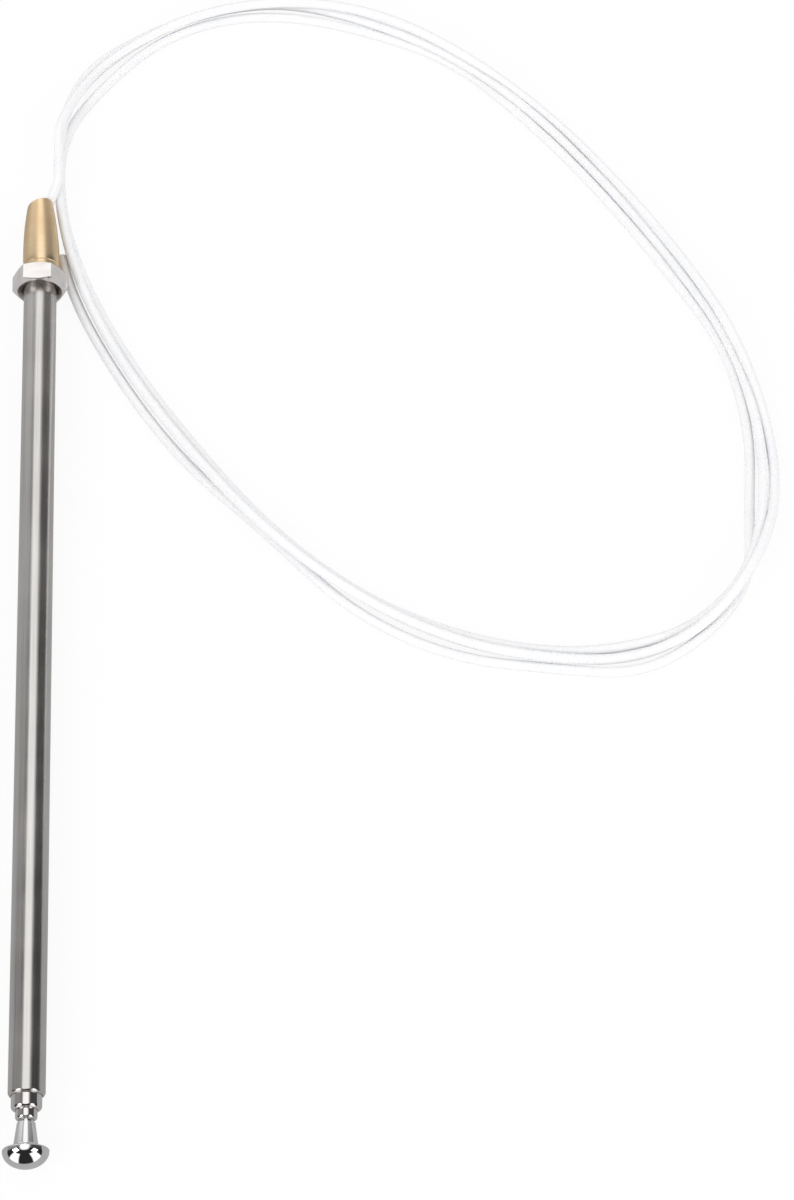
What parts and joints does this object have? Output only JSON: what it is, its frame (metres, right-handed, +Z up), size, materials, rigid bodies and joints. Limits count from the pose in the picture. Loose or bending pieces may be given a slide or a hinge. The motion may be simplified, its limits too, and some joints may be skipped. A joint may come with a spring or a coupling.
{
  "type": "telescopic car antenna mast",
  "caption": "Collapsed telescopic antenna mast with a domed tip knob, tapered brass base sleeve, loose hexagon nut and a flexible drive cable in a loose oval coil.",
  "frame": {"origin": "on the floor below the middle of the mast, the free cable left out", "axes": "+Y along the mast from the knob to the brass sleeve, +Z up, +X towards the cable's coil"},
  "size_m": [0.1828, 0.3104, 0.0117],
  "materials": {
    "polished_chrome": "polished plating",
    "stainless_tube": "bright drawn tube",
    "brushed_stainless": "fine lengthwise brushing",
    "bush_brass": "turned",
    "spring_bronze": "rolled strip",
    "sleeve_brass": "satin, turned",
    "nut_nickel": "bright nickel plating",
    "cable_nylon": "smooth milky nylon"
  },
  "bodies": {
    "mast_base": {"outer_tube": "brushed_stainless", "contact_sleeve": "sleeve_brass", "drive_cable_lead": "cable_nylon", "drive_cable_coil": "cable_nylon"},
    "second_section": {"second_tube": "stainless_tube", "second_guide_bush": "bush_brass", "second_contact_spring": "spring_bronze"},
    "third_section": {"third_tube": "stainless_tube", "third_guide_bush": "bush_brass", "third_contact_spring": "spring_bronze"},
    "tip_section": {"tip_rod": "stainless_tube", "tip_knob": "polished_chrome", "tip_guide_bush": "bush_brass", "tip_contact_spring": "spring_bronze", "cable_ferrule": "stainless_tube", "drive_cable_inner": "cable_nylon"},
    "nut": {"mounting_nut": "nut_nickel"}
  },
  "joints": [
    {"name": "second_slide", "type": "slide", "parent": "mast_base", "child": "second_section", "axis": [0, -1, 0], "range_m": [0, 0.192]},
    {"name": "third_slide", "type": "slide", "parent": "second_section", "child": "third_section", "axis": [0, -1, 0], "range_m": [0, 0.192]},
    {"name": "tip_slide", "type": "slide", "parent": "third_section", "child": "tip_section", "axis": [0, -1, 0], "range_m": [0, 0.185]},
    {"name": "nut_slide", "type": "slide", "parent": "mast_base", "child": "nut", "axis": [0, -1, 0], "range_m": [0, 0.202]}
  ]
}
